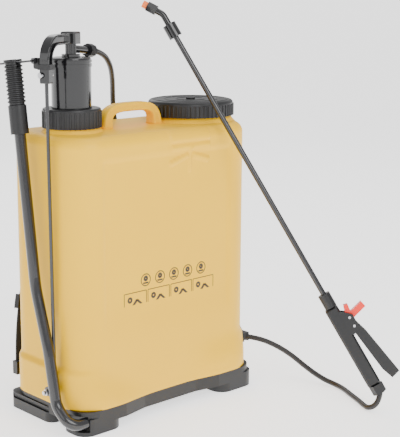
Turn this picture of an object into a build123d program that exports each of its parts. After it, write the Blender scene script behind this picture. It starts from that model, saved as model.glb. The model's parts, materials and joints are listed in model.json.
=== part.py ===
from build123d import *
import math
import os

# Knapsack sprayer. X runs along the wide front, Y towards the wearer's back, Z up.
# The origin is on the floor under the middle of the tank. Millimetres.
os.makedirs("parts", exist_ok=True)

# --- driving dimensions -----------------------------------------------------------------
BODY_W, BODY_D, BODY_R = 336, 172, 44      # upright tank walls
SKIRT_W, SKIRT_D, SKIRT_R = 346, 188, 42   # wider skirt over the base
BASE_TOP, SKIRT_TOP, DECK = 34, 88, 415    # heights of the base, the skirt and the tank's top
WALL = 3.0
PUMP_X, PUMP_Y = -111, 0                   # axis of the pump
LID_X, LID_Y = 112, -4                     # axis of the filler
NECK_TOP = 440
HANDLE_X, HANDLE_Y, HANDLE_TOP, HANDLE_DEPTH = -10.5, -6, 450, 18
CHAMBER_R, CHAMBER_LOW, CHAMBER_TOP = 28, 300, 518
CYLINDER_BORE, CYLINDER_R = 29.2, 31.5
LEVER_X, LEVER_R = -187, 8
PIVOT_Y, PIVOT_Z = -82, 18                 # the lever's axle, along X
CRANK_Y, CRANK_Z = -36, 58.5               # the rod's lower pin
ROD_X, ROD_Y, ROD_TOP = -176, -31.5, 498   # the rod's upper pin
HOSE_R = 4
SCREW_SPAN_X, SCREW_SPAN_Y = 260, 96
LANCE_FOOT = Vector(216.6, -299.8, 32)     # lower end of the lance's handle
LANCE_LEAN = Vector(84.6, -93, 436.2)      # the tube passes the lid here

LANCE = Plane(origin=LANCE_FOOT, x_dir=(0.646, -0.573, 0.504), z_dir=LANCE_LEAN - LANCE_FOOT)
LANCE_SIDE = Plane(origin=LANCE_FOOT, x_dir=LANCE.z_dir, z_dir=LANCE.z_dir.cross(LANCE.x_dir))


def save(piece, name):
    """Labels a finished piece and writes it."""
    piece.part.label = name
    export_step(piece.part, f"parts/{name}.step")


def ring(x, y, low, high, outer, inner=0, mode=Mode.ADD):
    """An upright disc or ring in the current part."""
    with BuildSketch(Plane.XY.offset(low)) as disc:
        with Locations((x, y)):
            Circle(outer)
            if inner:
                Circle(inner, mode=Mode.SUBTRACT)
    extrude(disc.sketch, amount=high - low, mode=mode)


def block(width, depth, radius, low, high, mode=Mode.ADD):
    """An upright block with rounded corners, centred on the tank."""
    with BuildSketch(Plane.XY.offset(low)) as plan:
        RectangleRounded(width, depth, radius)
    extrude(plan.sketch, amount=high - low, mode=mode)


def rib_ring(x, y, low, high, radius, count, size):
    """Upright half-round ribs round a cap."""
    with BuildSketch(Plane.XY.offset(low)) as ribs:
        with Locations((x, y)):
            with PolarLocations(radius, count):
                Circle(size)
    extrude(ribs.sketch, amount=high - low)


def lance_ring(low, high, outer, inner=0, mode=Mode.ADD):
    """A disc or ring on the lance's axis, by its distance from the lance's foot."""
    with BuildSketch(LANCE.offset(low)) as disc:
        Circle(outer)
        if inner:
            Circle(inner, mode=Mode.SUBTRACT)
    extrude(disc.sketch, amount=high - low, mode=mode)


def lance_point(along, out):
    """A point by its distance up the lance and its distance out on the trigger's side."""
    return LANCE_FOOT + LANCE.z_dir * along + LANCE.x_dir * out


def tube_along(points, bends, radius, bore=0):
    """A round tube on straight runs joined by arcs, as a part of its own."""
    with BuildPart() as made:
        with BuildLine() as path:
            FilletPolyline(*points, radius=bends)
        start = Plane(origin=path.line @ 0, z_dir=path.line % 0)
        with BuildSketch(start) as section:
            Circle(radius)
            if bore:
                Circle(bore, mode=Mode.SUBTRACT)
        sweep(section.sketch, path=path.line)
    return made, path.line


# --- tank -------------------------------------------------------------------------------
with BuildPart() as cavity:
    block(BODY_W - 2 * WALL, BODY_D - 2 * WALL, BODY_R - WALL, BASE_TOP + WALL, DECK - WALL)
    fillet(cavity.faces().sort_by(Axis.Z)[-1].edges(), 13)
    with BuildSketch(Plane.XZ.offset(-100)):
        with Locations((0, 240)):
            RectangleRounded(196, 256, 43)
    extrude(amount=31, mode=Mode.SUBTRACT)
    with BuildSketch(Plane.XY.offset(BASE_TOP + WALL)):
        with GridLocations(SCREW_SPAN_X, SCREW_SPAN_Y, 2, 2):
            Circle(7)
    extrude(amount=16, mode=Mode.SUBTRACT)

with BuildPart() as tank:
    block(BODY_W, BODY_D, BODY_R, SKIRT_TOP, DECK)
    fillet(tank.faces().sort_by(Axis.Z)[-1].edges(), 16)
    block(SKIRT_W, SKIRT_D, SKIRT_R, BASE_TOP, SKIRT_TOP)
    # concave back, where it meets the wearer
    with BuildSketch(Plane.XZ.offset(-100)):
        with Locations((0, 240)):
            RectangleRounded(190, 250, 40)
    extrude(amount=28, mode=Mode.SUBTRACT)
    add(cavity.part, mode=Mode.SUBTRACT)
    ring(PUMP_X, PUMP_Y, DECK - 20, DECK, 33, mode=Mode.SUBTRACT)
    ring(LID_X, LID_Y, DECK - 20, DECK, 51, mode=Mode.SUBTRACT)
    with BuildSketch(Plane.XY.offset(BASE_TOP)):
        with GridLocations(SCREW_SPAN_X, SCREW_SPAN_Y, 2, 2):
            Circle(2)
    extrude(amount=14, mode=Mode.SUBTRACT)
save(tank, "tank")

with BuildPart() as tank_necks:
    ring(PUMP_X, PUMP_Y, DECK, NECK_TOP, 37, 33)
    ring(LID_X, LID_Y, DECK, NECK_TOP - 2, 55, 51)
save(tank_necks, "tank_necks")

with BuildPart() as carry_handle:
    with BuildSketch(Plane.XZ.offset(-HANDLE_Y - HANDLE_DEPTH / 2)):
        with Locations((HANDLE_X, HANDLE_TOP - 30)):
            RectangleRounded(106, 60, 26)
        with Locations((HANDLE_X, HANDLE_TOP - 33)):
            RectangleRounded(80, 40, 14, mode=Mode.SUBTRACT)
        with Locations((HANDLE_X, DECK - 20)):
            Rectangle(120, 40, mode=Mode.SUBTRACT)
    extrude(amount=HANDLE_DEPTH)
save(carry_handle, "carry_handle")

# --- base -------------------------------------------------------------------------------
BAND_LOW = 14
with BuildPart() as tank_base:
    block(336, 168, 36, BAND_LOW, BASE_TOP)
    block(304, 136, 22, BAND_LOW, BASE_TOP - 6, Mode.SUBTRACT)
    # a stiffening rib that reaches the floor with the feet
    block(300, 56, 12, 0, BASE_TOP - 4)
    block(292, 48, 8, 0, BASE_TOP - 6, Mode.SUBTRACT)
    # rounded noses at the front corners, easing back to the middle
    for side in (-1, 1):
        with BuildSketch(Plane.XY.offset(BAND_LOW)) as nose:
            Polygon(
                (170 * side, -40),
                (170 * side, -92),
                (92 * side, -92),
                (40 * side, -82),
                (40 * side, -72),
                (92 * side, -40),
                align=None,
            )
            fillet(nose.vertices().sort_by_distance((170 * side, -92, BAND_LOW))[0], 30)
        extrude(amount=BASE_TOP - BAND_LOW)
    # feet
    with BuildSketch(Plane.XY):
        with Locations((-133, -65), (133, -65)):
            RectangleRounded(74, 54, 20)
        with Locations((-144, 36), (144, 36)):
            RectangleRounded(52, 104, 14)
    extrude(amount=BASE_TOP - 10)
    # bay at the front left corner for the lever's bend
    with BuildSketch(Plane.XY.offset(6)):
        with Locations((-178, -70)):
            Rectangle(42, 60)
    extrude(amount=BASE_TOP - 12, mode=Mode.SUBTRACT)
    # slots along the back feet
    with BuildSketch(Plane.XY.offset(15)):
        with Locations((-174, 36), (174, 36)):
            Rectangle(14, 90)
    extrude(amount=7, mode=Mode.SUBTRACT)
    # seat of the lever's bush
    with BuildSketch(Plane.YZ.offset(-157)):
        with Locations((PIVOT_Y, PIVOT_Z)):
            Circle(8)
    extrude(amount=32, mode=Mode.SUBTRACT)
    with BuildSketch(Plane.XY):
        with GridLocations(SCREW_SPAN_X, SCREW_SPAN_Y, 2, 2):
            Circle(6)
    extrude(amount=BASE_TOP - 4, mode=Mode.SUBTRACT)
    with BuildSketch(Plane.XY):
        with GridLocations(SCREW_SPAN_X, SCREW_SPAN_Y, 2, 2):
            Circle(2.2)
    extrude(amount=BASE_TOP, mode=Mode.SUBTRACT)
save(tank_base, "tank_base")

with BuildPart() as base_screws:
    with BuildSketch(Plane.XY.offset(BASE_TOP - 7)):
        with GridLocations(SCREW_SPAN_X, SCREW_SPAN_Y, 2, 2):
            Circle(4.5)
    extrude(amount=3)
    with BuildSketch(Plane.XY.offset(BASE_TOP - 4)):
        with GridLocations(SCREW_SPAN_X, SCREW_SPAN_Y, 2, 2):
            Circle(1.95)
    extrude(amount=16)
save(base_screws, "base_screws")

# --- filler: lid, gasket, vent and strainer ---------------------------------------------
LID_LOW, LID_TOP = 423, 446
with BuildPart() as filler_lid:
    ring(LID_X, LID_Y, LID_LOW, LID_TOP, 64.5)
    fillet(filler_lid.faces().sort_by(Axis.Z)[-1].edges(), 5)
    rib_ring(LID_X, LID_Y, LID_LOW, LID_TOP - 6, 64.4, 60, 1.6)
    ring(LID_X, LID_Y, LID_LOW, NECK_TOP + 1, 61, mode=Mode.SUBTRACT)
    with Locations((LID_X, LID_Y, LID_TOP)):
        Hole(3, 10)
save(filler_lid, "filler_lid")

with BuildPart() as lid_gasket:
    ring(LID_X, LID_Y, NECK_TOP - 0.7, NECK_TOP + 1, 58, 45)
save(lid_gasket, "lid_gasket")

with BuildPart() as lid_vent:
    ring(LID_X, LID_Y, NECK_TOP - 2, LID_TOP, 2.9, 1)
    ring(LID_X, LID_Y, LID_TOP, LID_TOP + 2.5, 7, 1)
save(lid_vent, "lid_vent")

BASKET_LOW, BASKET_TOP = 352, 439
with BuildPart() as filler_basket:
    ring(LID_X, LID_Y, BASKET_TOP - 1, BASKET_TOP, 53)
    ring(LID_X, LID_Y, BASKET_LOW, BASKET_TOP, 48)
    ring(LID_X, LID_Y, BASKET_LOW + 2, BASKET_TOP, 46, mode=Mode.SUBTRACT)
    with BuildSketch(Plane.XY.offset(BASKET_LOW + 8)):
        with Locations((LID_X, LID_Y)):
            with PolarLocations(47, 20):
                Rectangle(6, 8)
    extrude(amount=60, mode=Mode.SUBTRACT)
save(filler_basket, "filler_basket")

# --- pump, fixed side -------------------------------------------------------------------
RING_LOW, RING_TOP = 421, 448
with BuildPart() as pump_ring_nut:
    ring(PUMP_X, PUMP_Y, RING_LOW, RING_TOP, 41)
    fillet(pump_ring_nut.faces().sort_by(Axis.Z)[-1].edges(), 2.5)
    rib_ring(PUMP_X, PUMP_Y, RING_LOW, RING_TOP - 4, 40.7, 36, 1.5)
    ring(PUMP_X, PUMP_Y, RING_LOW, RING_TOP - 4, 37.3, mode=Mode.SUBTRACT)
    ring(PUMP_X, PUMP_Y, RING_LOW, RING_TOP, CHAMBER_R + 0.6, mode=Mode.SUBTRACT)
save(pump_ring_nut, "pump_ring_nut")

with BuildPart() as pump_gasket:
    ring(PUMP_X, PUMP_Y, NECK_TOP, NECK_TOP + 1.5, 36.5, 32)
save(pump_gasket, "pump_gasket")

CYLINDER_LOW = 214
with BuildPart() as pump_cylinder:
    ring(PUMP_X, PUMP_Y, NECK_TOP + 1.5, RING_TOP - 4, 36.5)
    ring(PUMP_X, PUMP_Y, CYLINDER_LOW, NECK_TOP + 1.5, CYLINDER_R)
    ring(PUMP_X, PUMP_Y, CYLINDER_LOW - 12, CYLINDER_LOW, 10)
    ring(PUMP_X, PUMP_Y, CYLINDER_LOW + 4, RING_TOP, CYLINDER_BORE, mode=Mode.SUBTRACT)
    ring(PUMP_X, PUMP_Y, CYLINDER_LOW - 12, CYLINDER_LOW + 5, 4, mode=Mode.SUBTRACT)
    ring(PUMP_X, PUMP_Y, CYLINDER_LOW - 12, CYLINDER_LOW - 2, 6.5, mode=Mode.SUBTRACT)
save(pump_cylinder, "pump_cylinder")

with BuildPart() as suction_pipe:
    ring(PUMP_X, PUMP_Y, 84, CYLINDER_LOW - 2, 6.4, 4)
save(suction_pipe, "suction_pipe")

with BuildPart() as suction_strainer:
    ring(PUMP_X, PUMP_Y, 58, 96, 15)
    ring(PUMP_X, PUMP_Y, 60, 84, 13, mode=Mode.SUBTRACT)
    ring(PUMP_X, PUMP_Y, 84, 96, 6.4, mode=Mode.SUBTRACT)
    with BuildSketch(Plane.XY.offset(62)):
        with Locations((PUMP_X, PUMP_Y)):
            with PolarLocations(14, 12):
                Rectangle(6, 3)
    extrude(amount=18, mode=Mode.SUBTRACT)
save(suction_strainer, "suction_strainer")

BALL_R = 5.5
with BuildPart() as inlet_ball:
    with Locations((PUMP_X, PUMP_Y, CYLINDER_LOW + 4 + math.sqrt(BALL_R ** 2 - 16) + 0.05)):
        Sphere(BALL_R)
save(inlet_ball, "inlet_ball")

with BuildPart() as inlet_cage:
    ring(PUMP_X, PUMP_Y, CYLINDER_LOW + 4, CYLINDER_LOW + 18, 10, 7)
    ring(PUMP_X, PUMP_Y, CYLINDER_LOW + 16, CYLINDER_LOW + 18, 10, 3)
save(inlet_cage, "inlet_cage")

# --- pump, moving side ------------------------------------------------------------------
with BuildPart() as air_chamber:
    ring(PUMP_X, PUMP_Y, CHAMBER_LOW, CHAMBER_TOP, CHAMBER_R)
    fillet(air_chamber.faces().sort_by(Axis.Z)[-1].edges(), 3)
    ring(PUMP_X, PUMP_Y, 505, 509, CHAMBER_R + 1.2)
    ring(PUMP_X, PUMP_Y, 511, 514, CHAMBER_R + 1.2)
    ring(PUMP_X, PUMP_Y, CHAMBER_LOW + 4, CHAMBER_TOP - 4, CHAMBER_R - 3, mode=Mode.SUBTRACT)
    ring(PUMP_X, PUMP_Y, CHAMBER_LOW, CHAMBER_TOP, 4, mode=Mode.SUBTRACT)
save(air_chamber, "air_chamber")

with BuildPart() as pump_piston:
    ring(PUMP_X, PUMP_Y, CHAMBER_LOW - 16, CHAMBER_LOW, 27.5)
    ring(PUMP_X, PUMP_Y, CHAMBER_LOW - 12, CHAMBER_LOW - 5, 30, 24, mode=Mode.SUBTRACT)
    ring(PUMP_X, PUMP_Y, CHAMBER_LOW - 16, CHAMBER_LOW, 4, mode=Mode.SUBTRACT)
save(pump_piston, "pump_piston")

with BuildPart() as piston_seal:
    ring(PUMP_X, PUMP_Y, CHAMBER_LOW - 12, CHAMBER_LOW - 5, CYLINDER_BORE - 0.05, 24)
save(piston_seal, "piston_seal")

with BuildPart() as outlet_ball:
    with Locations((PUMP_X, PUMP_Y, CHAMBER_LOW + 4 + math.sqrt(BALL_R ** 2 - 16) + 0.05)):
        Sphere(BALL_R)
save(outlet_ball, "outlet_ball")

with BuildPart() as outlet_cage:
    ring(PUMP_X, PUMP_Y, CHAMBER_LOW + 4, CHAMBER_LOW + 18, 10, 7)
    ring(PUMP_X, PUMP_Y, CHAMBER_LOW + 16, CHAMBER_LOW + 18, 10, 3)
save(outlet_cage, "outlet_cage")

HEAD_TOP = 553
with BuildPart() as pump_head:
    ring(PUMP_X, PUMP_Y, CHAMBER_TOP, CHAMBER_TOP + 4, 13)
    ring(PUMP_X, PUMP_Y, CHAMBER_TOP, 538, 6.5)
    rib_ring(PUMP_X, PUMP_Y, CHAMBER_TOP, 538, 6.5, 10, 1.1)
    with BuildSketch(Plane.XY.offset(536)):
        with Locations(Location((PUMP_X, PUMP_Y), 25)):
            RectangleRounded(20, 23, 3)
    extrude(amount=HEAD_TOP - 536)
    fillet(pump_head.faces().sort_by(Axis.Z)[-1].edges(), 2.5)
    ring(PUMP_X, PUMP_Y, CHAMBER_TOP, 531, 2.5, mode=Mode.SUBTRACT)
save(pump_head, "pump_head")

# --- outlet elbow and its nuts ----------------------------------------------------------
OUTLET = Plane(origin=(PUMP_X + 5, PUMP_Y + 2, 529), z_dir=(0.94, 0.34, -0.1))
with BuildPart() as outlet_elbow:
    with BuildSketch(OUTLET) as pipe:
        Circle(5.5)
        Circle(2.5, mode=Mode.SUBTRACT)
    extrude(pipe.sketch, amount=37)
    with BuildSketch(OUTLET.offset(37)) as spigot:
        Circle(3.6)
        Circle(2.5, mode=Mode.SUBTRACT)
    extrude(spigot.sketch, amount=20)
    add(pump_head.part, mode=Mode.SUBTRACT)
save(outlet_elbow, "outlet_elbow")

with BuildPart() as outlet_nut:
    with BuildSketch(OUTLET.offset(37)) as nut:
        RegularPolygon(9.6, 8)
        Circle(3.7, mode=Mode.SUBTRACT)
    extrude(nut.sketch, amount=13)
save(outlet_nut, "outlet_nut")

with BuildPart() as outlet_sleeve:
    with BuildSketch(OUTLET.offset(50)) as sleeve:
        Circle(6)
        Circle(3.7, mode=Mode.SUBTRACT)
    extrude(sleeve.sketch, amount=7)
save(outlet_sleeve, "outlet_sleeve")

# --- yoke from the head out to the connecting rod ---------------------------------------
REACH = math.hypot(ROD_X - PUMP_X, ROD_Y - PUMP_Y)
YOKE = Plane(
    origin=(PUMP_X, PUMP_Y, 0),
    x_dir=(ROD_X - PUMP_X, ROD_Y - PUMP_Y, 0),
    z_dir=(ROD_Y - PUMP_Y, PUMP_X - ROD_X, 0),
)
YOKE_WIDTH, SOCKET_HALF, SOCKET_LOW = 14, 7, 487
ARM_START, ARM_TOP, ARM_UNDER, CHANNEL_LOW = 12.5, 550.5, 536.5, 511


def yoke_side(edge):
    """Side view of the arm, drawn in by an even edge: flat on top, turning down to the socket."""
    outer = REACH + SOCKET_HALF - edge
    inner = REACH - SOCKET_HALF + edge
    top = ARM_TOP - edge
    under = ARM_UNDER + edge
    low = SOCKET_LOW if edge == 0 else CHANNEL_LOW
    start = ARM_START + edge
    with BuildSketch(YOKE) as side:
        Polygon((start, under), (inner, under), (inner, low), (outer, low), (outer, top), (start, top), align=None)
        fillet(side.vertices().sort_by_distance((outer, top, 0))[0], 36 - edge)
        fillet(side.vertices().sort_by_distance((inner, under, 0))[0], 20 + edge)
    return side.sketch


with BuildPart() as yoke_arm:
    extrude(yoke_side(0), amount=YOKE_WIDTH / 2, both=True)
    # channels along both sides leave a web between raised edges
    for face in (1, -1):
        with BuildPart(mode=Mode.PRIVATE) as channel:
            extrude(yoke_side(2.5).moved(Location(YOKE.z_dir * face * 2.5)), amount=face * 8)
        add(channel.part, mode=Mode.SUBTRACT)
    add(pump_head.part, mode=Mode.SUBTRACT)
    # fork for the rod's eye, and the hole for its pin
    with BuildSketch(Plane.XY.offset(SOCKET_LOW)):
        with Locations((ROD_X, ROD_Y)):
            Rectangle(6, 30)
    extrude(amount=18, mode=Mode.SUBTRACT)
    with BuildSketch(Plane.YZ.offset(ROD_X)):
        with Locations((ROD_Y, ROD_TOP)):
            Circle(2.5)
    extrude(amount=20, both=True, mode=Mode.SUBTRACT)
save(yoke_arm, "yoke_arm")

with BuildPart() as yoke_pin:
    with BuildSketch(Plane.YZ.offset(ROD_X - 10)):
        with Locations((ROD_Y, ROD_TOP)):
            Circle(2.45)
    extrude(amount=20)
    with BuildSketch(Plane.YZ.offset(ROD_X - 11.5)):
        with Locations((ROD_Y, ROD_TOP)):
            Circle(4)
    extrude(amount=1.5)
save(yoke_pin, "yoke_pin")

# --- connecting rod ---------------------------------------------------------------------
rod_line = Plane(
    origin=(ROD_X, CRANK_Y, CRANK_Z),
    x_dir=(1, 0, 0),
    z_dir=(0, ROD_Y - CRANK_Y, ROD_TOP - CRANK_Z),
)
ROD_LENGTH = math.hypot(ROD_Y - CRANK_Y, ROD_TOP - CRANK_Z)
with BuildPart() as connecting_rod:
    with BuildSketch(rod_line.offset(4)):
        Circle(2.5)
    extrude(amount=ROD_LENGTH - 8)
    with BuildSketch(Plane.YZ.offset(ROD_X)):
        with Locations((CRANK_Y, CRANK_Z)):
            Circle(6)
        with Locations((ROD_Y, ROD_TOP)):
            Circle(5)
    extrude(amount=2.45, both=True)
    with BuildSketch(Plane.YZ.offset(ROD_X)):
        with Locations((ROD_Y, ROD_TOP)):
            Circle(2.5)
    extrude(amount=5, both=True, mode=Mode.SUBTRACT)
save(connecting_rod, "connecting_rod")

# --- pumping lever ----------------------------------------------------------------------
LEVER_TOP = Vector(LEVER_X, 30.5, 516)
LEVER_BEND = Vector(LEVER_X, -10.5, 205)
lever_rise = (LEVER_TOP - LEVER_BEND).normalized()
GRIP_CAP = 12.4
lever_points = [
    LEVER_TOP - lever_rise * GRIP_CAP,
    LEVER_BEND,
    (LEVER_X, -38, 119),
    (LEVER_X, -54, 42),
    (LEVER_X + 3, PIVOT_Y, PIVOT_Z),
    (-158, PIVOT_Y, PIVOT_Z),
]
lever_tube, lever_line = tube_along(lever_points, [150, 150, 28, 18], LEVER_R, 6.6)
# lug behind the tube for the crank pin
with BuildPart() as lever_lug:
    with BuildSketch(Plane.YZ.offset(LEVER_X)):
        with Locations(Location((CRANK_Y - 5, CRANK_Z + 1), 0)):
            SlotOverall(24, 13)
    extrude(amount=2, both=True)
    with BuildSketch(Plane.YZ.offset(LEVER_X)):
        with Locations((CRANK_Y, CRANK_Z)):
            Circle(3)
    extrude(amount=5, both=True, mode=Mode.SUBTRACT)
    add(lever_tube.part, mode=Mode.SUBTRACT)
    lug = lever_lug.solids().sort_by(Axis.Y)[-1]
with BuildPart() as lever_plate:
    add(lug)
save(lever_tube, "lever_tube")
save(lever_plate, "lever_lug")

with BuildPart() as crank_pin:
    with BuildSketch(Plane.YZ.offset(ROD_X - 3.2)):
        with Locations((CRANK_Y, CRANK_Z)):
            Circle(2.95)
    extrude(amount=-17)
    with BuildSketch(Plane.YZ.offset(ROD_X - 3.2)):
        with Locations((CRANK_Y, CRANK_Z)):
            Circle(5)
    extrude(amount=-2.5)
    with BuildSketch(Plane.YZ.offset(LEVER_X - 4)):
        with Locations((CRANK_Y, CRANK_Z)):
            Circle(4.5)
    extrude(amount=-1.5)
save(crank_pin, "crank_pin")

with BuildPart() as lever_axle:
    with BuildSketch(Plane.YZ.offset(-165)):
        with Locations((PIVOT_Y, PIVOT_Z)):
            Circle(6.6)
    extrude(amount=7)
    with BuildSketch(Plane.YZ.offset(-158)):
        with Locations((PIVOT_Y, PIVOT_Z)):
            Circle(6)
    extrude(amount=27)
save(lever_axle, "lever_axle")

with BuildPart() as lever_bush:
    with BuildSketch(Plane.YZ.offset(-157)):
        with Locations((PIVOT_Y, PIVOT_Z)):
            Circle(8)
            Circle(6.05, mode=Mode.SUBTRACT)
    extrude(amount=27)
save(lever_bush, "lever_bush")

GRIP_LENGTH, GRIP_COLLAR, GRIP_R, GRIP_ROOT = 101, 39, 12.6, 10.8
RIB_COUNT, RIB_PITCH = 10, 5.3
GRIP = Plane(origin=LEVER_TOP - lever_rise * GRIP_LENGTH, x_dir=(1, 0, 0), z_dir=lever_rise)
GRIP_SECTION = Plane(origin=GRIP.origin, x_dir=(1, 0, 0), z_dir=lever_rise.cross(Vector(1, 0, 0)) * -1)
grip_profile = [(LEVER_R, 0), (GRIP_R, 0), (GRIP_R, GRIP_COLLAR), (GRIP_ROOT, GRIP_COLLAR + 1)]
for turn in range(RIB_COUNT):
    rib = GRIP_COLLAR + 3.5 + turn * RIB_PITCH
    grip_profile += [(GRIP_ROOT, rib), (GRIP_R, rib + 1), (GRIP_R, rib + 2.6), (GRIP_ROOT, rib + 3.6)]
grip_profile += [(GRIP_ROOT, GRIP_LENGTH - 4), (GRIP_R, GRIP_LENGTH - 3.5), (GRIP_R, GRIP_LENGTH)]
grip_profile += [(0, GRIP_LENGTH), (0, GRIP_LENGTH - GRIP_CAP), (LEVER_R, GRIP_LENGTH - GRIP_CAP)]
with BuildPart() as lever_grip:
    with BuildSketch(GRIP_SECTION):
        Polygon(*grip_profile, align=None)
    revolve(axis=Axis(GRIP.origin, lever_rise))
    # notch across the top for the carrying latch
    with BuildSketch(Plane.XY.offset(506)):
        with Locations((LEVER_X, 30)):
            Rectangle(5, 60)
    extrude(amount=20, mode=Mode.SUBTRACT)
save(lever_grip, "lever_grip")

# --- carrying latch from the yoke to the grip -------------------------------------------
LATCH_Y, LATCH_Z = -18, 517
with BuildPart() as latch_clamp:
    yoke_turn = math.degrees(math.atan2(YOKE.x_dir.Y, YOKE.x_dir.X))
    with BuildSketch(Plane.XY.offset(505.5)):
        with Locations(Location((ROD_X, ROD_Y), yoke_turn)):
            RectangleRounded(19, 19, 3)
            Rectangle(YOKE_WIDTH, YOKE_WIDTH, mode=Mode.SUBTRACT)
    extrude(amount=7)
    with BuildSketch(Plane.YZ.offset(-184.5)):
        with Locations((-20.1, 513.5)):
            RectangleRounded(12, 15, 3)
    extrude(amount=3)
    with BuildSketch(Plane.YZ.offset(LEVER_X - 4)) as latch_pin:
        with Locations((LATCH_Y, LATCH_Z)):
            Circle(1.5)
    extrude(latch_pin.sketch, amount=8)
save(latch_clamp, "latch_clamp")

wire_line = Plane(origin=(LEVER_X, LATCH_Y, LATCH_Z), x_dir=(1, 0, 0), z_dir=(0, 86, -9))
with BuildPart() as latch_wire:
    with BuildSketch(wire_line.offset(3)):
        Circle(1.5)
    extrude(amount=83)
    with BuildSketch(Plane.YZ.offset(LEVER_X)):
        with Locations((LATCH_Y, LATCH_Z)):
            Circle(4)
    extrude(amount=1.5, both=True)
    with BuildSketch(Plane.YZ.offset(LEVER_X)):
        with Locations((LATCH_Y, LATCH_Z)):
            Circle(1.55)
    extrude(amount=3, both=True, mode=Mode.SUBTRACT)
save(latch_wire, "latch_wire")

# --- hose -------------------------------------------------------------------------------
UPPER_ROUTE = [
    tuple(OUTLET.origin + OUTLET.z_dir * 57.2),
    (-30, 30, 519),
    (-4, 46, 501),
    (18, 68, 478),
    (36, 90, 450),
    (46, 101, 418),
    (54, 102, 396),
    (68, 101, 372),
]
BACK_ROUTE = [
    (68, 101, 372),
    (90, 97, 334),
    (118, 96, 300),
    (145, 96, 262),
    (168, 86, 226),
    (182, 64, 192),
    (187, 36, 160),
    (187, 8, 130),
    (186, -20, 100),
    (183, -52, 66),
]
FRONT_ROUTE = [
    (183, -52, 66),
    (197, -70, 64),
    (212, -92, 56),
    (226, -116, 42),
    (238, -142, 22),
    (246, -168, 9),
    (250, -190, 5),
    (245, -210, 4.8),
    (232, -236, 4.8),
    (222, -258, 4.8),
    (212, -276, 4.8),
    (207, -288, 5.2),
    (210.5, -297, 10),
    (215, -301, 20),
    tuple(LANCE_FOOT - LANCE.z_dir * 2.5),
]


def hose(route, ends, radius):
    """A round hose along a smooth route with given end directions."""
    with BuildPart() as made:
        with BuildLine() as path:
            Spline(*route, tangents=ends)
        with BuildSketch(Plane(origin=path.line @ 0, z_dir=path.line % 0)) as section:
            Circle(radius)
        sweep(section.sketch, path=path.line)
    return made


UPPER_ENDS = [OUTLET.z_dir, Vector(16, -2, -31).normalized()]
BACK_ENDS = [UPPER_ENDS[1], Vector(2, -34, -24).normalized()]
FRONT_ENDS = [BACK_ENDS[1], LANCE.z_dir]
HOSES = {
    "hose_upper": (UPPER_ROUTE, UPPER_ENDS),
    "hose_back": (BACK_ROUTE, BACK_ENDS),
    "hose_front": (FRONT_ROUTE, FRONT_ENDS),
}
for hose_name, (route, ends) in HOSES.items():
    save(hose(route, ends, HOSE_R), hose_name)
print("hose radius", HOSE_R)

with BuildPart() as hose_clips:
    with Locations((68, 97, 375)):
        Box(16, 22, 14)
    with Locations((118, 96, 300)):
        Box(18, 20, 14)
    with Locations((181, -52, 66)):
        Box(16, 16, 14)
    clip_bores = [
        Plane(origin=BACK_ROUTE[0], z_dir=BACK_ENDS[0]),
        Plane(origin=BACK_ROUTE[2], z_dir=Vector(BACK_ROUTE[3]) - Vector(BACK_ROUTE[1])),
        Plane(origin=FRONT_ROUTE[0], z_dir=FRONT_ENDS[0]),
    ]
    for bore in clip_bores:
        with BuildSketch(bore) as hole:
            Circle(HOSE_R + 0.8)
        extrude(hole.sketch, amount=20, both=True, mode=Mode.SUBTRACT)
save(hose_clips, "hose_clips")

# --- lance: handle and valve ------------------------------------------------------------
HANDLE_LOW, HANDLE_HIGH = 12, 143
with BuildPart() as lance_tail_nut:
    with BuildSketch(LANCE.offset(-2)):
        RegularPolygon(10.5, 6)
        Circle(3.2, mode=Mode.SUBTRACT)
    extrude(amount=14)
save(lance_tail_nut, "lance_tail_nut")

PIVOT_S, PIVOT_T = 104, 16
LOCK_S, LOCK_T = 118, 16
with BuildPart() as lance_handle:
    with BuildSketch(LANCE_SIDE):
        with Locations(((HANDLE_LOW + HANDLE_HIGH) / 2, -1)):
            RectangleRounded(HANDLE_HIGH - HANDLE_LOW, 20, 4)
    extrude(amount=8.5, both=True)
    chamfer(lance_handle.edges().filter_by(Axis(LANCE_FOOT, LANCE.z_dir)), 3)
    # cheeks for the trigger and its lock
    with BuildSketch(LANCE_SIDE):
        Polygon((94, 5), (94, 16), (100, 22), (120, 22), (126, 16), (134, 5), align=None)
    extrude(amount=9, both=True)
    with BuildSketch(LANCE_SIDE):
        with Locations((112, 19)):
            Rectangle(60, 20)
    extrude(amount=6.3, both=True, mode=Mode.SUBTRACT)
    with BuildSketch(LANCE_SIDE):
        with Locations((PIVOT_S, PIVOT_T), (LOCK_S, LOCK_T)):
            Circle(2)
    extrude(amount=12, both=True, mode=Mode.SUBTRACT)
    lance_ring(HANDLE_LOW, HANDLE_HIGH, 3.2, mode=Mode.SUBTRACT)
    with BuildSketch(Plane(origin=lance_point(92, -3), z_dir=LANCE.x_dir)) as stem_hole:
        Circle(2.05)
    extrude(stem_hole.sketch, amount=20, mode=Mode.SUBTRACT)
save(lance_handle, "lance_handle")

with BuildPart() as valve_stem:
    with BuildSketch(Plane(origin=lance_point(92, -0.5), z_dir=LANCE.x_dir)):
        Circle(2)
    extrude(amount=12)
save(valve_stem, "valve_stem")

with BuildPart() as trigger_pin:
    with BuildSketch(LANCE_SIDE.offset(-9.5)):
        with Locations((PIVOT_S, PIVOT_T)):
            Circle(1.95)
    extrude(amount=19)
save(trigger_pin, "trigger_pin")

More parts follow.
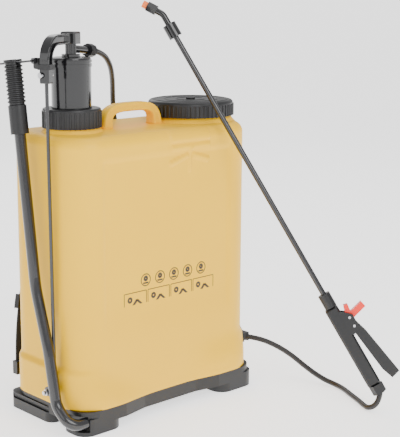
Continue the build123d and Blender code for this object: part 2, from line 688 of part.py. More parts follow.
with BuildPart() as lance_trigger:
    with BuildSketch(LANCE_SIDE):
        Polygon(
            (109, 21.5),
            (89, 27.6),
            (14, 40.4),
            (10, 26.7),
            (28, 20.3),
            (93, 12.2),
            (104, 11.2),
            (109, 14),
            align=None,
        )
    extrude(amount=5.5, both=True)
    with BuildSketch(LANCE_SIDE):
        with Locations((PIVOT_S, PIVOT_T)):
            Circle(2)
    extrude(amount=8, both=True, mode=Mode.SUBTRACT)
    # open channel inside, towards the handle
    with BuildSketch(LANCE_SIDE):
        Polygon((84, 8), (84, 24), (22, 34), (22, 8), align=None)
    extrude(amount=3.2, both=True, mode=Mode.SUBTRACT)
    # pocket for the spring
    with BuildSketch(LANCE_SIDE.offset(2.5)):
        with Locations((PIVOT_S, PIVOT_T)):
            Circle(4.2)
    extrude(amount=4, mode=Mode.SUBTRACT)
save(lance_trigger, "lance_trigger")

with BuildPart() as trigger_spring:
    for coil in range(3):
        with Locations(Plane(origin=lance_point(PIVOT_S, PIVOT_T), z_dir=LANCE_SIDE.z_dir).offset(3.5 + coil).location):
            Torus(2.5, 0.55)
save(trigger_spring, "trigger_spring")

with BuildPart() as trigger_lock:
    with BuildSketch(LANCE_SIDE):
        with Locations((LOCK_S, LOCK_T)):
            Circle(5)
        Polygon((113.5, 18), (121, 44), (130, 42), (123, 16), align=None)
        Polygon((117, 20.9), (136, 23), (137.5, 17), (119, 11.1), align=None)
    extrude(amount=5.7, both=True)
    with BuildSketch(LANCE_SIDE):
        with Locations((LOCK_S, LOCK_T)):
            Circle(2)
    extrude(amount=8, both=True, mode=Mode.SUBTRACT)
save(trigger_lock, "trigger_lock")

with BuildPart() as lock_pin:
    with BuildSketch(LANCE_SIDE.offset(-9.5)):
        with Locations((LOCK_S, LOCK_T)):
            Circle(1.95)
    extrude(amount=19)
save(lock_pin, "lock_pin")

# --- lance: tube and nozzle -------------------------------------------------------------
TUBE_LOW, TUBE_HIGH = 150, 600
with BuildPart() as lance_tube:
    lance_ring(TUBE_LOW, TUBE_HIGH, 4, 2.8)
save(lance_tube, "lance_tube")

with BuildPart() as lance_collar:
    lance_ring(HANDLE_HIGH, TUBE_LOW, 9, 3.2)
    lance_ring(TUBE_LOW, 165, 9, 4)
save(lance_collar, "lance_collar")

SPRAY_BEND = 634
spray_way = lance_point(SPRAY_BEND + 18.66, -11.66) - lance_point(SPRAY_BEND, 0)
SPRAY = Plane(origin=lance_point(SPRAY_BEND, 0), x_dir=LANCE_SIDE.z_dir, z_dir=spray_way)
spray_points = [lance_point(TUBE_HIGH, 0), lance_point(SPRAY_BEND, 0), lance_point(SPRAY_BEND + 18.66, -11.66)]
spray_elbow, spray_line = tube_along(spray_points, 14, 4.6, 2.5)
save(spray_elbow, "spray_elbow")

with BuildPart() as nozzle_nut:
    lance_ring(596, TUBE_HIGH, 9.8, 4)
    lance_ring(TUBE_HIGH, 617, 9.8, 4.6)
save(nozzle_nut, "nozzle_nut")

with BuildPart() as spray_nut:
    with BuildSketch(SPRAY.offset(10.5)):
        RegularPolygon(8, 6)
        Circle(4.6, mode=Mode.SUBTRACT)
    extrude(amount=15)
    with BuildSketch(SPRAY.offset(22)):
        Circle(5.35)
    extrude(amount=5, mode=Mode.SUBTRACT)
save(spray_nut, "spray_nut")

with BuildPart() as nozzle_tip:
    with BuildSketch(SPRAY.offset(22.3)):
        Circle(5.3)
        Circle(0.6, mode=Mode.SUBTRACT)
    extrude(amount=10.5)
    with BuildSketch(SPRAY.offset(22.3)):
        Circle(3)
    extrude(amount=7, mode=Mode.SUBTRACT)
save(nozzle_tip, "nozzle_tip")

# --- harness ----------------------------------------------------------------------------
STRAP_BOW, STRAP_THICK, STRAP_WIDTH = 40, 4, 38
STRAP_CHORD = math.sqrt(106 ** 2 + 6 ** 2 + 328 ** 2)
STRAP_R = (STRAP_CHORD ** 2 / 4 + STRAP_BOW ** 2) / (2 * STRAP_BOW)
STRAP_HALF = math.asin(STRAP_CHORD / 2 / STRAP_R)


def strap_plane(side):
    """The plane of one strap's curve, from its top end down, bowing out from the back."""
    way = Vector(106 * side, 6, -328)
    return Plane(origin=(24 * side, 92, 378), x_dir=way, z_dir=way.cross(Vector(0, 1, 0)))


def strap_point(height, share):
    """A point by its height over the strap's inner face and its share of the strap's length."""
    angle = (2 * share - 1) * STRAP_HALF
    radius = STRAP_R + height
    return (STRAP_CHORD / 2 + radius * math.sin(angle), STRAP_BOW - STRAP_R + radius * math.cos(angle))


def strap_band(side, low, high, start, end):
    """Side view of a stretch of strap between two heights."""
    middle = (start + end) / 2
    with BuildSketch(strap_plane(side)) as band:
        with BuildLine():
            ThreePointArc(strap_point(low, start), strap_point(low, middle), strap_point(low, end))
            ThreePointArc(strap_point(high, start), strap_point(high, middle), strap_point(high, end))
            Line(strap_point(low, start), strap_point(high, start))
            Line(strap_point(low, end), strap_point(high, end))
        make_face()
    return band.sketch


straps = []
for side, hand in ((-1, "left"), (1, "right")):
    with BuildPart() as strap:
        extrude(strap_band(side, 0, STRAP_THICK, 0, 1), amount=STRAP_WIDTH / 2, both=True)
    save(strap, f"strap_{hand}")
    straps.append(strap.part)

with BuildPart() as strap_pads:
    for side in (-1, 1):
        extrude(strap_band(side, -4, STRAP_THICK + 4, 0.07, 0.55), amount=25, both=True)
    for webbing in straps:
        add(webbing, mode=Mode.SUBTRACT)
save(strap_pads, "strap_pads")

with BuildPart() as strap_buckles:
    for side in (-1, 1):
        extrude(strap_band(side, -3, STRAP_THICK + 3, 0.7, 0.76), amount=23, both=True)
    for webbing in straps:
        add(webbing, mode=Mode.SUBTRACT)
save(strap_buckles, "strap_buckles")

with BuildPart() as strap_anchor:
    with Locations((0, 91.5, 378)):
        Box(92, 11, 24)
    for webbing in straps:
        add(webbing, mode=Mode.SUBTRACT)
save(strap_anchor, "strap_anchor")

with BuildPart() as strap_hooks:
    with Locations((-130, 99.5, 51), (130, 99.5, 51)):
        Box(42, 11, 20)
    for webbing in straps:
        add(webbing, mode=Mode.SUBTRACT)
save(strap_hooks, "strap_hooks")
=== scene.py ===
import json
import math
import bpy
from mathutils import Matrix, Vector


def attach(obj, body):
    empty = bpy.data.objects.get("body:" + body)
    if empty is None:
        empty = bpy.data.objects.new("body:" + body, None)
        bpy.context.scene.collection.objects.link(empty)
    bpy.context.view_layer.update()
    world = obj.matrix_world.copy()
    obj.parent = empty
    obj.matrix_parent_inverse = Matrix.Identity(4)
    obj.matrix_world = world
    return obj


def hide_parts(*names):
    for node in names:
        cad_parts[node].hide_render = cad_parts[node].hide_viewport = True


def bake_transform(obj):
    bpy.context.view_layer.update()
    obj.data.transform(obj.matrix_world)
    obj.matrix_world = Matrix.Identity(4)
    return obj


# A knapsack sprayer on a pale floor. Everything is in metres, in the CAD's own frame: X along the
# tank's front, Y towards the wearer's back, Z up.
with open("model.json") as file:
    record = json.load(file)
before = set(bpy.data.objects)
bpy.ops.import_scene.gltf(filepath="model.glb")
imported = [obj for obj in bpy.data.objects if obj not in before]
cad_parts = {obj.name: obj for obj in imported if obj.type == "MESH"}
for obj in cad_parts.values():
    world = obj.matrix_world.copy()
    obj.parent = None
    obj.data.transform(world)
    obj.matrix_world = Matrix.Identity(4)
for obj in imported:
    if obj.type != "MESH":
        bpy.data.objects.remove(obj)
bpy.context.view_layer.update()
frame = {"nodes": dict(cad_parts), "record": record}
MM = 0.001

BODY_W, BODY_D, BODY_R = 336, 172, 44      # the tank's upright walls, in millimetres
BASE_TOP, STEP_Z, DECK = 34, 92, 415
TOP_ROUND = 16
PUMP_X, LID_X, LID_Y = -111, 112, -4
FRONT = -BODY_D / 2


# --- materials --------------------------------------------------------------------------
def finish_of(name, colour, roughness, metallic=0.0, grain=900, bump=0.08, spread=0.05, coat=0.0):
    """A material with faint uneven colour, uneven gloss and a fine moulded or drawn grain."""
    material = bpy.data.materials.new(name)
    material.use_nodes = True
    nodes, links = material.node_tree.nodes, material.node_tree.links
    shader = nodes["Principled BSDF"]
    shader.inputs["Metallic"].default_value = metallic
    shader.inputs["Coat Weight"].default_value = coat
    place = nodes.new("ShaderNodeTexCoord")
    broad = nodes.new("ShaderNodeTexNoise")
    broad.inputs["Scale"].default_value = 9
    broad.inputs["Detail"].default_value = 4
    links.new(place.outputs["Object"], broad.inputs["Vector"])
    tint = nodes.new("ShaderNodeValToRGB")
    tint.color_ramp.elements[0].position = 0.3
    tint.color_ramp.elements[1].position = 0.7
    tint.color_ramp.elements[0].color = (*[part * (1 - spread) for part in colour], 1)
    tint.color_ramp.elements[1].color = (*[min(1, part * (1 + spread)) for part in colour], 1)
    links.new(broad.outputs["Fac"], tint.inputs["Fac"])
    links.new(tint.outputs["Color"], shader.inputs["Base Color"])
    gloss = nodes.new("ShaderNodeMapRange")
    gloss.inputs["To Min"].default_value = max(0.02, roughness - 0.06)
    gloss.inputs["To Max"].default_value = roughness + 0.06
    links.new(broad.outputs["Fac"], gloss.inputs["Value"])
    links.new(gloss.outputs["Result"], shader.inputs["Roughness"])
    fine = nodes.new("ShaderNodeTexNoise")
    fine.inputs["Scale"].default_value = grain
    fine.inputs["Detail"].default_value = 3
    links.new(place.outputs["Object"], fine.inputs["Vector"])
    relief = nodes.new("ShaderNodeBump")
    relief.inputs["Strength"].default_value = bump
    relief.inputs["Distance"].default_value = 0.0004
    links.new(fine.outputs["Fac"], relief.inputs["Height"])
    links.new(relief.outputs["Normal"], shader.inputs["Normal"])
    return material


def woven(name, colour, pitch):
    """Webbing: two crossed sets of threads in relief."""
    material = finish_of(name, colour, 0.85, grain=1500, bump=0.2, spread=0.12)
    nodes, links = material.node_tree.nodes, material.node_tree.links
    place = nodes["Texture Coordinate"]
    threads = []
    for direction in ("X", "Z"):
        wave = nodes.new("ShaderNodeTexWave")
        wave.bands_direction = direction
        wave.inputs["Scale"].default_value = 0.31 / pitch
        links.new(place.outputs["Object"], wave.inputs["Vector"])
        threads.append(wave)
    weave = nodes.new("ShaderNodeMath")
    weave.operation = "MULTIPLY"
    for socket, wave in enumerate(threads):
        links.new(wave.outputs["Fac"], weave.inputs[socket])
    relief = nodes.new("ShaderNodeBump")
    relief.inputs["Strength"].default_value = 0.5
    relief.inputs["Distance"].default_value = 0.0006
    links.new(weave.outputs["Value"], relief.inputs["Height"])
    links.new(relief.outputs["Normal"], nodes["Principled BSDF"].inputs["Normal"])
    return material


yellow = finish_of("yellow_moulding", (1.0, 0.56, 0.0), 0.42, grain=420, bump=0.05, spread=0.02)
yellow.node_tree.nodes["Principled BSDF"].inputs["Specular IOR Level"].default_value = 0.3
FINISHES = {
    "yellow": yellow,
    "black": finish_of("black_moulding", (0.009, 0.009, 0.01), 0.4, bump=0.12),
    "gloss_black": finish_of("gloss_moulding", (0.006, 0.006, 0.007), 0.16, bump=0.03, coat=0.4),
    "clear_grey": finish_of("grey_moulding", (0.55, 0.55, 0.52), 0.4),
    "zinc": finish_of("zinc_plate", (0.62, 0.62, 0.64), 0.3, metallic=1.0, grain=1600),
    "painted": finish_of("painted_steel", (0.014, 0.014, 0.016), 0.24, bump=0.05, coat=0.5),
    "rubber": finish_of("seal_rubber", (0.02, 0.02, 0.02), 0.7, bump=0.2),
    "hose": finish_of("hose_rubber", (0.016, 0.014, 0.014), 0.38, bump=0.1),
    "orange": finish_of("orange_moulding", (1.0, 0.2, 0.03), 0.35),
    "red": finish_of("red_moulding", (0.95, 0.03, 0.01), 0.33, coat=0.2),
    "webbing": woven("webbing", (0.022, 0.022, 0.025), 0.0016),
}
ink = finish_of("print_ink", (0.035, 0.022, 0.01), 0.5, bump=0.02)

for entry in frame["record"]["subparts"]:
    node = frame["nodes"][entry["node"]]
    node.data.materials.clear()
    node.data.materials.append(FINISHES[entry["material_slot"]])


# --- mesh helpers -----------------------------------------------------------------------
def smooth(value):
    """0 below 0, 1 above 1, and a soft turn between them."""
    value = min(1.0, max(0.0, value))
    return value * value * (3 - 2 * value)


def mesh_of(name, points, faces, slot, body="frame", soft=True, material=None):
    """A piece from points in millimetres, on a body, with the finish of a slot."""
    data = bpy.data.meshes.new(name)
    data.from_pydata([[part * MM for part in point] for point in points], [], faces)
    data.validate()
    data.update()
    if soft:
        data.shade_smooth()
    piece = bpy.data.objects.new(name, data)
    bpy.context.scene.collection.objects.link(piece)
    data.materials.append(material or FINISHES[slot])
    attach(piece, body)
    return piece


def skin(rings, low_end=True, high_end=True):
    """Points and faces of a surface through closed rings of equal count."""
    count = len(rings[0])
    points = [point for ring in rings for point in ring]
    faces = []
    for level in range(len(rings) - 1):
        for step in range(count):
            across = (step + 1) % count
            low, high = level * count, (level + 1) * count
            faces.append((low + step, low + across, high + across, high + step))
    if low_end:
        faces.append(tuple(reversed(range(count))))
    if high_end:
        faces.append(tuple(range(len(points) - count, len(points))))
    return points, faces


def circle(x, y, radius, z, count=96):
    """A level circle of points."""
    turns = [2 * math.pi * step / count for step in range(count)]
    return [(x + radius * math.cos(a), y + radius * math.sin(a), z) for a in turns]


def turned(name, x, y, profile, slot, body="frame"):
    """A ring turned about an upright axis, from (radius, height) pairs round its section."""
    rings = [circle(x, y, radius, height) for radius, height in profile + profile[:1]]
    return mesh_of(name, *skin(rings, False, False), slot, body)


# --- tank -------------------------------------------------------------------------------
def outline(inset):
    """Points and outward directions round the tank's plan, closer together along the front."""
    half_x, half_y, radius = BODY_W / 2 - inset, BODY_D / 2 - inset, max(1, BODY_R - inset)
    flat_x, flat_y = half_x - radius, half_y - radius
    line = []
    for start, end, steps, turn in (
        ((-flat_x, -half_y), (flat_x, -half_y), 150, -90),
        ((half_x, -flat_y), (half_x, flat_y), 40, 0),
        ((flat_x, half_y), (-flat_x, half_y), 90, 90),
        ((-half_x, flat_y), (-half_x, -flat_y), 40, 180),
    ):
        facing = math.radians(turn)
        for step in range(steps):
            share = step / steps
            spot = [a + (b - a) * share for a, b in zip(start, end)]
            line.append((spot[0], spot[1], math.cos(facing), math.sin(facing)))
        corner = (end[0] - radius * math.cos(facing), end[1] - radius * math.sin(facing))
        for step in range(18):
            angle = facing + math.pi / 2 * step / 18
            spot = (corner[0] + radius * math.cos(angle), corner[1] + radius * math.sin(angle))
            line.append((*spot, math.cos(angle), math.sin(angle)))
    return line


PANEL_DEPTH = 2.4
RAISED_STROKES = (
    ((-2, 400), (74, 400)),
    ((-2, 389), (74, 389)),
    ((-2, 366), (33, 376)),
    ((41, 376), (74, 366)),
)


def bar(x, z, start, end, half, edge=1.6):
    """1 on a straight stroke between two places on the front, 0 away from it."""
    run = (end[0] - start[0], end[1] - start[1])
    length = math.hypot(*run)
    along = ((x - start[0]) * run[0] + (z - start[1]) * run[1]) / length
    across = abs((x - start[0]) * run[1] - (z - start[1]) * run[0]) / length
    return smooth((half - across) / edge + 0.5) * smooth((min(along, length - along)) / edge + 0.5)


def front_relief(x, z):
    """How far the front stands out: its sunk panel, raised strokes near the top, corner noses."""
    inside = smooth((x + 128) / 9) * smooth((386 - z) / 9) * smooth((120 - x) / 9)
    height = -PANEL_DEPTH * inside * smooth((z - 120) / 60)
    for start, end in RAISED_STROKES:
        height += 2.6 * bar(x, z, start, end, 3.4)
    height += 2.0 * bar(x, z, (37, 388), (37, 352), 2.6)
    sweep = 100 - 34 * math.exp(-((x + 55) / 70) ** 2)
    nose = smooth((abs(x) - 28) / 72)
    height += smooth((sweep - z) / 50) * (8 * nose - 0.5)
    return height


SKIRT_OUT, BACK_HOLLOW = 5, 14


def wall_push(x, out_x, out_y, z):
    """How far a point of the wall moves outwards."""
    below_step = smooth((STEP_Z - z) / 9)
    push = out_x * out_x * SKIRT_OUT * below_step
    if out_y < 0:
        push += front_relief(x, z) * out_y * out_y
    if out_y > 0.99:
        hollow = smooth((95 - abs(x)) / 16) * smooth((z - 115) / 16) * smooth((365 - z) / 16)
        push += 6 * below_step - BACK_HOLLOW * hollow
    return push


tank_rings = []
WALL_LEVELS, ROUND_LEVELS = 170, 10
for level in range(WALL_LEVELS + 1):
    z = BASE_TOP + (DECK - TOP_ROUND - BASE_TOP) * level / WALL_LEVELS
    ring = []
    for x, y, out_x, out_y in outline(0):
        push = wall_push(x, out_x, out_y, z)
        ring.append((x + out_x * push, y + out_y * push, z))
    tank_rings.append(ring)
for level in range(1, ROUND_LEVELS + 1):
    angle = math.pi / 2 * level / ROUND_LEVELS
    inset, z = TOP_ROUND * (1 - math.cos(angle)), DECK - TOP_ROUND * (1 - math.sin(angle))
    ring = []
    for x, y, out_x, out_y in outline(inset):
        push = wall_push(x, out_x, out_y, DECK - TOP_ROUND) * math.cos(angle)
        ring.append((x + out_x * push, y + out_y * push, z))
    tank_rings.append(ring)
tank = mesh_of("tank_shell", *skin(tank_rings, high_end=False), "yellow")

# the deck, open at both necks
deck_line = bpy.data.curves.new("deck", "CURVE")
deck_line.dimensions = "2D"
deck_line.fill_mode = "BOTH"
for ring in (tank_rings[-1], circle(PUMP_X, 0, 33, DECK), circle(LID_X, LID_Y, 51, DECK)):
    spline = deck_line.splines.new("POLY")
    spline.points.add(len(ring) - 1)
    for point, spot in zip(spline.points, ring):
        point.co = (spot[0], spot[1], 0, 1)
    spline.use_cyclic_u = True
deck_source = bpy.data.objects.new("deck_line", deck_line)
bpy.context.scene.collection.objects.link(deck_source)
bpy.context.view_layer.update()
sheet = bpy.data.meshes.new_from_object(deck_source)
bpy.data.objects.remove(deck_source)
deck_points = [(vertex.co.x, vertex.co.y, DECK) for vertex in sheet.vertices]
mesh_of("tank_deck", deck_points, [tuple(face.vertices) for face in sheet.polygons], "yellow", soft=False)

pump_neck = [(46, 412), (43, 415.5), (40, 419), (38.5, 424), (37, 430), (37, 440), (33, 440), (33, 412)]
turned("pump_neck", PUMP_X, 0, pump_neck, "yellow")
filler_neck = [(70, 411), (66, 415), (62.5, 419), (60, 424), (55, 426), (55, 438), (51, 438), (51, 411)]
necks = turned("filler_neck", LID_X, LID_Y, filler_neck, "yellow")


def handle_ring(centre, way, depth, thick):
    """One section of the carrying handle: a rounded block with a shallow channel along the front."""
    across = Vector((way.z, 0, -way.x))
    ring = []
    for step in range(32):
        angle = 2 * math.pi * step / 32
        side = math.copysign(abs(math.cos(angle)) ** 0.45, math.cos(angle))
        face = math.copysign(abs(math.sin(angle)) ** 0.45, math.sin(angle))
        sunk = 1.6 * math.exp(-(side / 0.35) ** 2) if face < 0 else 0
        spot = centre + across * side * thick / 2 + Vector((0, 1, 0)) * (face * depth / 2 + sunk)
        ring.append(tuple(spot))
    return ring


HANDLE_X, HANDLE_Y, HANDLE_FOOT = -10.5, -6, 411
HANDLE_HALF, HANDLE_RISE, HANDLE_SQUARE, HANDLE_STEPS = 46.5, 32.3, 0.55, 48


def on_arch(turn):
    """A place on the handle's middle line, from the left foot at 0 to the right foot at pi."""
    turn = min(math.pi, max(0, turn))
    wide = math.copysign(abs(math.cos(turn)) ** HANDLE_SQUARE, math.cos(turn))
    tall = max(0, math.sin(turn)) ** HANDLE_SQUARE
    return Vector((HANDLE_X - HANDLE_HALF * wide, HANDLE_Y, HANDLE_FOOT + HANDLE_RISE * tall))


handle_rings = []
for step in range(HANDLE_STEPS + 1):
    spot = on_arch(math.pi * step / HANDLE_STEPS)
    back = on_arch(math.pi * (step - 0.5) / HANDLE_STEPS)
    later = on_arch(math.pi * (step + 0.5) / HANDLE_STEPS)
    leg = 1 - (spot.z - HANDLE_FOOT) / HANDLE_RISE
    handle_rings.append(handle_ring(spot, (later - back).normalized(), 18 + 5 * leg, 13 + 5 * leg))
handle = mesh_of("handle_arch", *skin(handle_rings), "yellow")
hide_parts("tank")
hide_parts("carry_handle")
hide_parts("tank_necks")

# --- printed marks: plain circles over plain boxes, without lettering ---------------------
PRINT_Y = FRONT + PANEL_DEPTH - 0.12     # just proud of the sunk panel


def flat_ring(name, x, z, radius, width):
    """A thin printed circle on the front."""
    points, faces, count = [], [], 40
    for step in range(count):
        angle = 2 * math.pi * step / count
        for reach in (radius - width, radius):
            points.append((x + reach * math.cos(angle), PRINT_Y, z + reach * math.sin(angle)))
    for step in range(count):
        near, far = 2 * step, 2 * ((step + 1) % count)
        faces.append((near, near + 1, far + 1, far))
    mesh_of(name, points, faces, "yellow", material=ink)


def flat_strokes(name, strokes):
    """Thin printed strokes on the front, each from one place to another with a width."""
    points, faces = [], []
    for (x1, z1), (x2, z2), width in strokes:
        length = math.hypot(x2 - x1, z2 - z1)
        side = ((z1 - z2) / length * width / 2, (x2 - x1) / length * width / 2)
        first = len(points)
        for x, z, way in ((x1, z1, 1), (x2, z2, 1), (x2, z2, -1), (x1, z1, -1)):
            points.append((x + way * side[0], PRINT_Y, z + way * side[1]))
        faces.append((first, first + 1, first + 2, first + 3))
    mesh_of(name, points, faces, "yellow", material=ink)


for place in range(5):
    x = -48 + 27 * place
    flat_ring(f"print_circle_{place}", x, 205, 9.3, 1.5)
    flat_ring(f"print_dot_{place}", x, 207, 4.2, 3.6)
    flat_strokes(f"print_bar_{place}", [((x - 5, 200.5), (x + 5, 200.5), 2.4)])
for place in range(4):
    low_x, high_x, low_z, high_z = -88 + 44 * place, -47 + 44 * place, 151, 190
    corners = [(low_x, low_z), (high_x, low_z), (high_x, high_z), (low_x, high_z)]
    strokes = [(corners[i], corners[(i + 1) % 4], 1.2) for i in range(4)]
    middle = (low_x + high_x) / 2
    strokes.append(((middle - 12, 162), (middle + 3, 179), 4))
    strokes.append(((middle + 3, 179), (middle + 13, 170), 3.4))
    strokes.append(((middle - 13, 157), (middle + 13, 157), 3))
    flat_strokes(f"print_box_{place}", strokes)
    flat_ring(f"print_spot_{place}", middle - 10, 180, 4.6, 3.4)

# --- yoke: a channelled arm that turns down into the rod's socket --------------------------
ROD_X, ROD_Y = -176, -31.5
ARM_HALF, ARM_MID, ARM_BEND, ARM_SUNK = 7, 543.5, 27, 4.2
SOCKET_LOW, SOCKET_R = 487, 4.2
reach = math.hypot(ROD_X - PUMP_X, ROD_Y)
outward = Vector(((ROD_X - PUMP_X) / reach, ROD_Y / reach, 0))
sideways = Vector((-outward.y, outward.x, 0))
UP = Vector((0, 0, 1))


def arm_ring(centre, across, sunk, half=ARM_HALF):
    """One section of the arm, sunk on both sides between its raised edges."""
    ring = []
    for side in (1, -1):
        for share in (-1, -0.82, -0.62, -0.5, 0.5, 0.62, 0.82, 1):
            depth = half - (0.9 if abs(share) == 1 else sunk if abs(share) == 0.5 else 0)
            ring.append(tuple(centre + across * (share * half * side) + sideways * (depth * side)))
    return ring


arm_rings = []
for step in range(8):
    spot = Vector((PUMP_X, 0, ARM_MID)) + outward * (5 + (reach - ARM_BEND - 5) * step / 8)
    arm_rings.append(arm_ring(spot, UP, ARM_SUNK if step > 2 else 0))
for step in range(25):
    angle = math.pi / 2 * step / 24
    along, drop = reach - ARM_BEND * (1 - math.sin(angle)), ARM_BEND * (1 - math.cos(angle))
    spot = Vector((PUMP_X, 0, ARM_MID - drop)) + outward * along
    across = UP * math.cos(angle) + outward * math.sin(angle)
    arm_rings.append(arm_ring(spot, across, ARM_SUNK))
# the socket: its outside down to the rim, then back up inside
for height, sunk, half in (
    (514, ARM_SUNK, ARM_HALF),
    (512, 0, ARM_HALF),
    (488, 0, ARM_HALF),
    (SOCKET_LOW, 0, 6.4),
    (SOCKET_LOW, 0, SOCKET_R),
    (506, 0, SOCKET_R),
):
    spot = Vector((ROD_X, ROD_Y, height))
    arm_rings.append(arm_ring(spot, outward, sunk, half))
arm = mesh_of("yoke_moulding", *skin(arm_rings), "gloss_black", "pump_unit", soft=False)
edge = arm.modifiers.new("edges", "BEVEL")
edge.width = 0.0007
edge.segments = 2
edge.limit_method = "ANGLE"
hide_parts("yoke_arm")

# --- lid details --------------------------------------------------------------------------
for radius in (22, 40, 56):
    height = 446
    profile = [(radius - 1.1, height - 0.3), (radius - 0.5, height + 0.7), (radius + 0.5, height + 0.7)]
    profile.append((radius + 1.1, height - 0.3))
    turned(f"lid_ridge_{radius}", LID_X, LID_Y, profile, "black", "lid")

# --- harness ----------------------------------------------------------------------------
STRAP_BOW, STRAP_THICK, STRAP_WIDTH = 40, 4, 38
PAD_WIDTH, PAD_HALF = 50, 6
STRAP_CHORD = math.sqrt(106 ** 2 + 6 ** 2 + 328 ** 2)
STRAP_R = (STRAP_CHORD ** 2 / 4 + STRAP_BOW ** 2) / (2 * STRAP_BOW)
STRAP_HALF = math.asin(STRAP_CHORD / 2 / STRAP_R)


def on_strap(side, share, across, height):
    """A place on a strap: its share of the length, distance from the middle and over the inner face."""
    down = Vector((106 * side, 6, -328)).normalized()
    normal = down.cross(Vector((0, 1, 0))).normalized()
    out = normal.cross(down)
    angle = (2 * share - 1) * STRAP_HALF
    radius = STRAP_R + height
    along = STRAP_CHORD / 2 + radius * math.sin(angle)
    bow = STRAP_BOW - STRAP_R + radius * math.cos(angle)
    return Vector((24 * side, 92, 378)) + down * along + out * bow + normal * across


def strap_section(side, share, width, low, high, square):
    """A closed section across a strap, from boxy to oval."""
    ring = []
    for step in range(36):
        angle = 2 * math.pi * step / 36
        across = math.copysign(abs(math.cos(angle)) ** square, math.cos(angle)) * width / 2
        rise = math.copysign(abs(math.sin(angle)) ** square, math.sin(angle))
        ring.append(tuple(on_strap(side, share, across, (low + high) / 2 + rise * (high - low) / 2)))
    return ring


for side, hand in ((-1, "left"), (1, "right")):
    rings = []
    for step in range(81):
        rings.append(strap_section(side, step / 80, STRAP_WIDTH, 0, STRAP_THICK, 0.25))
    ribbon = mesh_of(f"strap_webbing_{hand}", *skin(rings), "webbing")
    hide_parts(f"strap_{hand}")
    rings = []
    for step in range(121):
        share = 0.07 + 0.48 * step / 120
        end = min(step, 120 - step) / 7
        full = math.sqrt(1 - (1 - min(1, end)) ** 2) * 0.8 + 0.2
        channel = 1 - 0.3 * max(0, math.cos(2 * math.pi * step / 15)) ** 12
        width, half = PAD_WIDTH * (0.9 + 0.1 * full), PAD_HALF * full * channel
        rings.append(strap_section(side, share, width, 2 - half, 2 + half, 0.62))
    pad = mesh_of(f"strap_pad_{hand}", *skin(rings), "webbing")
    if side == 1:
        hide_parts("strap_pads")

# --- hose -------------------------------------------------------------------------------
HOSE_R = 0.004
PUMP_ROUTE = [
    (-0.0525, 0.0214, 0.5233),
    (-0.0300, 0.0300, 0.5190),
    (-0.0040, 0.0460, 0.5010),
    (0.0180, 0.0680, 0.4780),
    (0.0360, 0.0900, 0.4500),
    (0.0460, 0.1010, 0.4180),
    (0.0540, 0.1020, 0.3960),
    (0.0680, 0.1010, 0.3720),
    (0.0900, 0.0970, 0.3340),
    (0.1180, 0.0960, 0.3000),
    (0.1450, 0.0960, 0.2620),
    (0.1680, 0.0860, 0.2260),
    (0.1820, 0.0640, 0.1920),
    (0.1870, 0.0360, 0.1600),
    (0.1870, 0.0080, 0.1300),
    (0.1860, -0.0200, 0.1000),
    (0.1830, -0.0520, 0.0660),
]
LANCE_ROUTE = [
    (0.1830, -0.0520, 0.0660),
    (0.1970, -0.0700, 0.0640),
    (0.2120, -0.0920, 0.0560),
    (0.2260, -0.1160, 0.0420),
    (0.2380, -0.1420, 0.0220),
    (0.2460, -0.1680, 0.0090),
    (0.2500, -0.1900, 0.0050),
    (0.2450, -0.2100, 0.0048),
    (0.2320, -0.2360, 0.0048),
    (0.2220, -0.2580, 0.0048),
    (0.2120, -0.2760, 0.0048),
    (0.2070, -0.2880, 0.0052),
    (0.2105, -0.2970, 0.0100),
    (0.2150, -0.3010, 0.0200),
    (0.2173, -0.3009, 0.0299),
]


def hose(name, route, nodes):
    """A hose along its route, in place of the listed CAD hose parts, which it hides."""
    curve = bpy.data.curves.new(name, "CURVE")
    curve.dimensions = "3D"
    spline = curve.splines.new("NURBS")
    spline.points.add(len(route) - 1)
    for point, spot in zip(spline.points, route):
        point.co = (*spot, 1)
    spline.order_u = 3
    spline.use_endpoint_u = True
    spline.resolution_u = 10
    source = bpy.data.objects.new(name + "_line", curve)
    bpy.context.scene.collection.objects.link(source)
    bpy.context.view_layer.update()
    line = bpy.data.meshes.new_from_object(source)
    curve.bevel_depth = HOSE_R
    curve.bevel_resolution = 5
    curve.use_fill_caps = True
    bpy.context.view_layer.update()
    data = bpy.data.meshes.new_from_object(source)
    bpy.data.objects.remove(source)
    tube = bpy.data.objects.new(name, data)
    bpy.context.scene.collection.objects.link(tube)
    data.materials.clear()
    data.materials.append(FINISHES["hose"])
    data.shade_smooth()
    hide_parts(*nodes)
    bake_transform(tube)


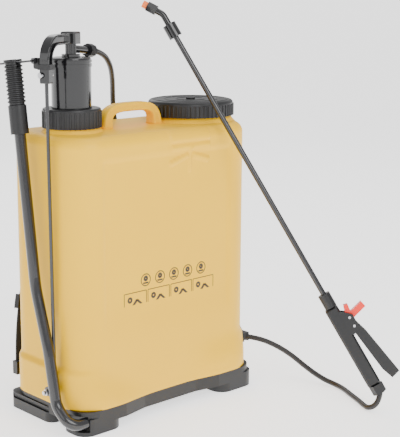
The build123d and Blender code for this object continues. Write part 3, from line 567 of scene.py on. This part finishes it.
hose(
    "hose_to_tank", PUMP_ROUTE, ["hose_upper", "hose_back"],
)
hose(
    "hose_to_lance", LANCE_ROUTE, ["hose_front"],
)


# --- floor, light and camera --------------------------------------------------------------
def studio():
    """A plain pale floor, soft light and the camera."""
    data = bpy.data.meshes.new("floor")
    data.from_pydata([(-90, -90, 0), (90, -90, 0), (90, 90, 0), (-90, 90, 0)], [], [(0, 1, 2, 3)])
    floor = bpy.data.objects.new("floor", data)
    bpy.context.scene.collection.objects.link(floor)
    pale = finish_of("pale_floor", (0.9, 0.9, 0.9), 0.8, grain=60, bump=0.0, spread=0.002)
    pale.node_tree.nodes["Principled BSDF"].inputs["Emission Color"].default_value = (1, 1, 1, 1)
    pale.node_tree.nodes["Principled BSDF"].inputs["Emission Strength"].default_value = 1.5
    data.materials.append(pale)
    floor.location.z = -0.0002
    world = bpy.data.worlds.new("studio")
    world.use_nodes = True
    world.node_tree.nodes["Background"].inputs["Color"].default_value = (1, 1, 1, 1)
    world.node_tree.nodes["Background"].inputs["Strength"].default_value = 0.75
    bpy.context.scene.world = world
    aim = Vector((0, 0, 0.25))
    for name, place, size, power in (
        ("key", (-0.4, -1.9, 1.5), 1.3, 27),
        ("side", (-1.9, -0.3, 1.0), 1.0, 5),
        ("top", (0.3, -0.2, 2.2), 1.6, 12),
        ("back", (0.8, 1.9, 1.6), 1.4, 10),
    ):
        lamp = bpy.data.lights.new(name, "AREA")
        lamp.size = size
        lamp.energy = power
        light = bpy.data.objects.new(name, lamp)
        light.location = place
        light.rotation_euler = (aim - Vector(place)).to_track_quat("-Z", "Y").to_euler()
        bpy.context.scene.collection.objects.link(light)
    view = bpy.data.cameras.new("view")
    view.lens = 93.9
    view.sensor_width = 36
    view.shift_x = 0.0686
    camera = bpy.data.objects.new("view", view)
    camera.location = (-1.0728, -1.2733, 0.6162)
    camera.rotation_euler = (math.radians(90 - 11.6), 0, math.radians(-42))
    bpy.context.scene.collection.objects.link(camera)
    bpy.context.scene.camera = camera


studio()
